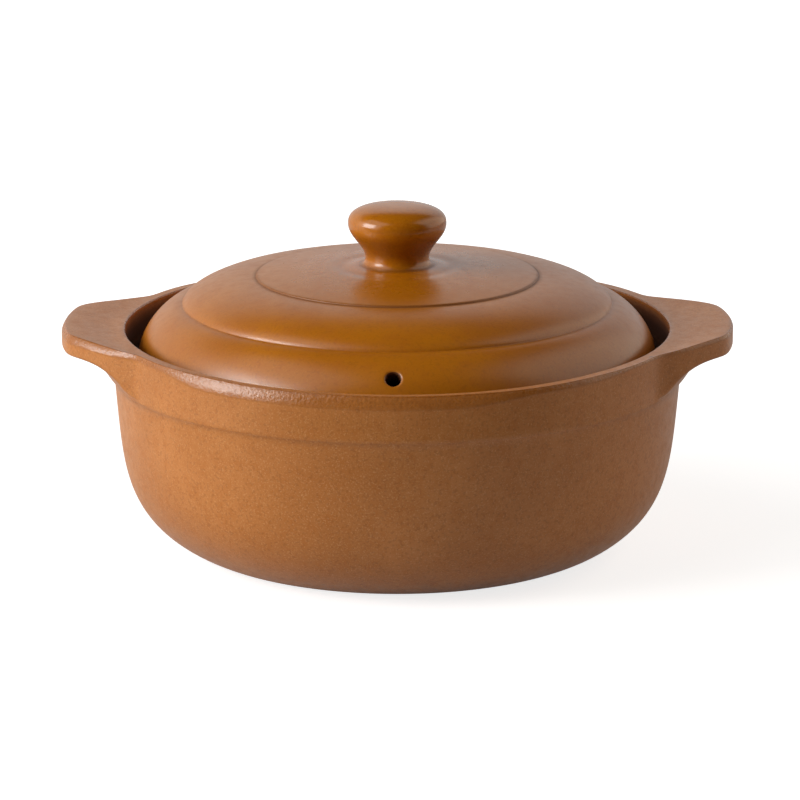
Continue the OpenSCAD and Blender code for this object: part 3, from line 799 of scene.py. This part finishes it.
def makeLid(s):
    path, marks = lidProfile(s)
    ventTurn = -math.pi / 2 - math.radians(s["ventTurn"])
    mesh = spinProfile("lidSkin", path, s["turnSteps"], ventTurn, lidGlaze)
    bm = bmesh.new()
    bm.from_mesh(mesh)
    cutVent(bm, s, ventTurn)
    bmesh.ops.recalc_face_normals(bm, faces=bm.faces)
    loose = [e for e in bm.edges if len(e.link_faces) != 2]
    ventSpot = quarterAt(s["edgeR"] - s["tierWidth"], s["seat"] + s["edgeHeight"], s["edgeR"],
                         s["seat"] + s["lowerTop"], s["tierPower"], s["ventAngle"])
    ventAt = Vector((ventSpot[0] * math.cos(ventTurn), ventSpot[0] * math.sin(ventTurn), ventSpot[1]))
    ventWay = Vector((math.cos(ventTurn), math.sin(ventTurn), s["ventSlope"])).normalized()
    neckZ = (s["seat"] + s["lowerTop"] + s["upperTop"] + s["discStep"] + s["discCrown"]
             + s["neckHeight"])
    headZ = neckZ + s["headRise"]
    softSpots = {"neck": marks[0], "discTop": marks[1], "discFoot": marks[2], "crease": marks[3]}
    thinAndShade, paintedShade, bare, polish = [], [], [], []
    for v in bm.verts:
        x, y, z = v.co / mm
        r = math.hypot(x, y)
        near = {key: math.hypot(r - p[0], z - p[1]) for key, p in softSpots.items()}
        rim = math.hypot(r - s["edgeR"], z - s["seat"])
        offset = Vector((x, y, z)) - ventAt
        vent = offset.length - s["ventDia"] / 2
        fromAxis = (offset - ventWay * offset.dot(ventWay)).length - s["ventDia"] / 2
        inVent = fromAxis < s["ventEdge"] * s["ventSkin"] and offset.length < s["ventDia"] * 2
        underHead = float(smoothStep(z, *(neckZ + up for up in s["headFrom"]))
                          * smoothStep(z, *(headZ + up for up in s["headTo"])))
        ventAmount, ventFade = s["ventThin"]
        # painted shade under the knob's head goes into the thin glaze layer
        thinAndShade.append(max(faded(near["discTop"], *s["discThin"]), s["headShade"] * underHead,
                        ventAmount * math.exp(-max(0.0, vent) / ventFade), faded(rim, *s["edgeThin"])))
        # painted shade in the creases at the disc's foot, the knob's foot and between the tiers, and
        # inside the vent's bore
        paintedShade.append(max(faded(near["discFoot"], *s["discFootShade"]), faded(near["neck"], *s["neckShade"]),
                        faded(near["crease"], *s["creaseShade"]), s["ventShade"] if inVent else 0.0))
        onSeat = z < s["seat"] + s["seatBare"] and r > s["ringR"] - s["ringThick"] / 2
        bare.append(1.0 if onSeat else 0.0)
        polish.append(s["discPolish"] * float(smoothStep(r, s["discR"], s["knobDia"] / 2))
                      + (s["knobPolish"] if r < s["knobDia"] / 2 else 0))
        if z > s["seat"] + s["evenFrom"]:
            drop = s["unevenness"] * unevenness(x * mm, y * mm, z * mm, s["unevenScale"], s["unevenSeed"])
            v.co.z -= drop * mm * min(1.0, (z - s["seat"]) / s["evenBelow"])
    bm.to_mesh(mesh)
    bm.free()
    mesh.shade_smooth()
    mesh.materials.clear()
    mesh.materials.append(lidGlaze)
    mesh.polygons.foreach_set("material_index", [0] * len(mesh.polygons))
    for name, values in (("thinGlazeAndShadeMask", thinAndShade), ("paintedShadeMask", paintedShade), ("bareClay", bare),
                         ("polish", polish)):
        setFloats(mesh, name, values)
    mesh.calc_loop_triangles()
    print("lid skin:", len(path), "profile points,", len(mesh.loop_triangles), "triangles, open edges:",
          len(loose))
    return mesh


lidMesh = makeLid(lidSizes)
addPiece("lidSkin", lidMesh, "lid", ("lid_skirt", "lid_crown", "lid_knob"))
print("stage: lid made")


stageLook = {
    "floorSize": 8.0, "floorColour": (0.55, 0.54, 0.53, 1),
    "whiteNear": 0.78, "whiteFar": 0.93,  # the floor's own white at the pot and away from it
    "nearEdge": 0.10, "farEdge": 0.45,    # metres from the pot's axis
    "mirrorWhite": 0.20,                  # the same as the glaze mirrors it
    "dimFrom": 0.20, "dimTo": 0.42,       # how far in front the mirrored floor falls into shade
    "roomLevel": 0.01, "backLevel": 0.70, "sideLevel": 1.25, "boardColour": (1, 0.90, 0.76, 1),
    "backFrom": 0.0, "backTo": 0.35,      # how far back the bright backdrop starts
    "sideFrom": 0.35, "sideTo": 0.65,     # how far to the right the white board starts
    "boardFrom": -0.35, "boardTo": -0.15, # how far forward it reaches
    "highFrom": 0.70, "highTo": 0.52,     # how high the backdrop reaches
}


def addFloor(look):
    half = look["floorSize"] / 2
    mesh = bpy.data.meshes.new("studioFloor")
    mesh.from_pydata([(-half, -half, 0), (half, -half, 0), (half, half, 0), (-half, half, 0)], [],
                     [(0, 1, 2, 3)])
    floor = bpy.data.objects.new("studioFloor", mesh)
    scene.collection.objects.link(floor)
    material = bpy.data.materials.new("paleFloor")
    material.use_nodes = True
    material.node_tree.nodes.clear()
    make = nodeMaker(material.node_tree)
    path = make("ShaderNodeLightPath").outputs
    mirrored = calc(make, "MAXIMUM", path["Is Glossy Ray"], path["Is Transmission Ray"])
    place = make("ShaderNodeTexCoord").outputs["Object"]
    away = make("ShaderNodeVectorMath", {0: place}, operation="LENGTH").outputs["Value"]
    white = make("ShaderNodeMapRange", {"Value": away, "From Min": look["nearEdge"],
                                        "From Max": look["farEdge"], "To Min": look["whiteNear"],
                                        "To Max": look["whiteFar"]}, interpolation_type="SMOOTHSTEP")
    depth = make("ShaderNodeSeparateXYZ", {0: place}).outputs["Y"]
    lit = rampOf(make, depth, -look["dimTo"], -look["dimFrom"])
    matt = make("ShaderNodeBsdfDiffuse", {"Color": mixColour(
        make, calc(make, "MULTIPLY", mirrored, calc(make, "SUBTRACT", 1.0, lit)), look["floorColour"],
        (0, 0, 0, 1))})
    glow = calc(make, "MULTIPLY", path["Is Camera Ray"], white.outputs["Result"])
    glow = calc(make, "ADD", glow, calc(make, "MULTIPLY", mirrored,
                                        calc(make, "MULTIPLY", lit, look["mirrorWhite"])))
    glow = make("ShaderNodeEmission", {"Color": (1, 1, 1, 1), "Strength": glow})
    both = make("ShaderNodeAddShader", {0: matt.outputs[0], 1: glow.outputs[0]})
    make("ShaderNodeOutputMaterial", {"Surface": both.outputs[0]})
    mesh.materials.append(material)


def setWorld(look):
    # white to the camera; elsewhere a room that is bright behind the pot and dim in front of it
    world = bpy.data.worlds.new("studio")
    scene.world = world
    world.use_nodes = True
    world.node_tree.nodes.clear()
    make = nodeMaker(world.node_tree)
    way = make("ShaderNodeTexCoord").outputs["Generated"]
    split = make("ShaderNodeSeparateXYZ", {0: way}).outputs
    low = rampOf(make, split["Z"], look["highFrom"], look["highTo"])
    behind = calc(make, "MULTIPLY", rampOf(make, split["Y"], look["backFrom"], look["backTo"]),
                  calc(make, "MULTIPLY", low, look["backLevel"]))
    beside = calc(make, "MULTIPLY", rampOf(make, split["X"], look["sideFrom"], look["sideTo"]),
                  calc(make, "MULTIPLY", rampOf(make, split["Y"], look["boardFrom"], look["boardTo"]),
                       look["sideLevel"]))
    room = calc(make, "MAXIMUM", calc(make, "MAXIMUM", behind, beside), look["roomLevel"])
    path = make("ShaderNodeLightPath").outputs
    level = make("ShaderNodeMix", {0: path["Is Camera Ray"], 2: room, 3: 1.0}).outputs[0]
    warm = calc(make, "MULTIPLY", rampOf(make, split["X"], look["sideFrom"], look["sideTo"]),
                calc(make, "SUBTRACT", 1.0, path["Is Camera Ray"]))
    tint = mixColour(make, warm, (1, 1, 1, 1), look["boardColour"])
    back = make("ShaderNodeBackground", {"Color": tint, "Strength": level})
    make("ShaderNodeOutputWorld", {"Surface": back.outputs[0]})


lampLook = {
    # which way it lies from the pot, how far off, its width and height, its power
    "keySoftbox": ((-0.918, -0.252, 0.306), 3.0, (3.6, 2.4), 26),
    "keyCore": ((-0.888, -0.288, 0.358), 2.9, (1.6, 1.5), 66),
    "keySpill": ((-0.587, -0.191, 0.787), 3.2, (3.0, 1.8), 20),
}
lampAim = Vector((0, 0, 0.06))


def addLight(name, way, distance, size, power):
    data = bpy.data.lights.new(name, "AREA")
    data.shape = "RECTANGLE"
    data.size, data.size_y = size
    data.energy = power
    obj = bpy.data.objects.new(name, data)
    obj.location = lampAim + Vector(way).normalized() * distance
    obj.rotation_euler = (lampAim - obj.location).to_track_quat("-Z", "Y").to_euler()
    scene.collection.objects.link(obj)


addFloor(stageLook)
setWorld(stageLook)
for name, lamp in lampLook.items():
    addLight(name, *lamp)
print("stage: floor and lights set")
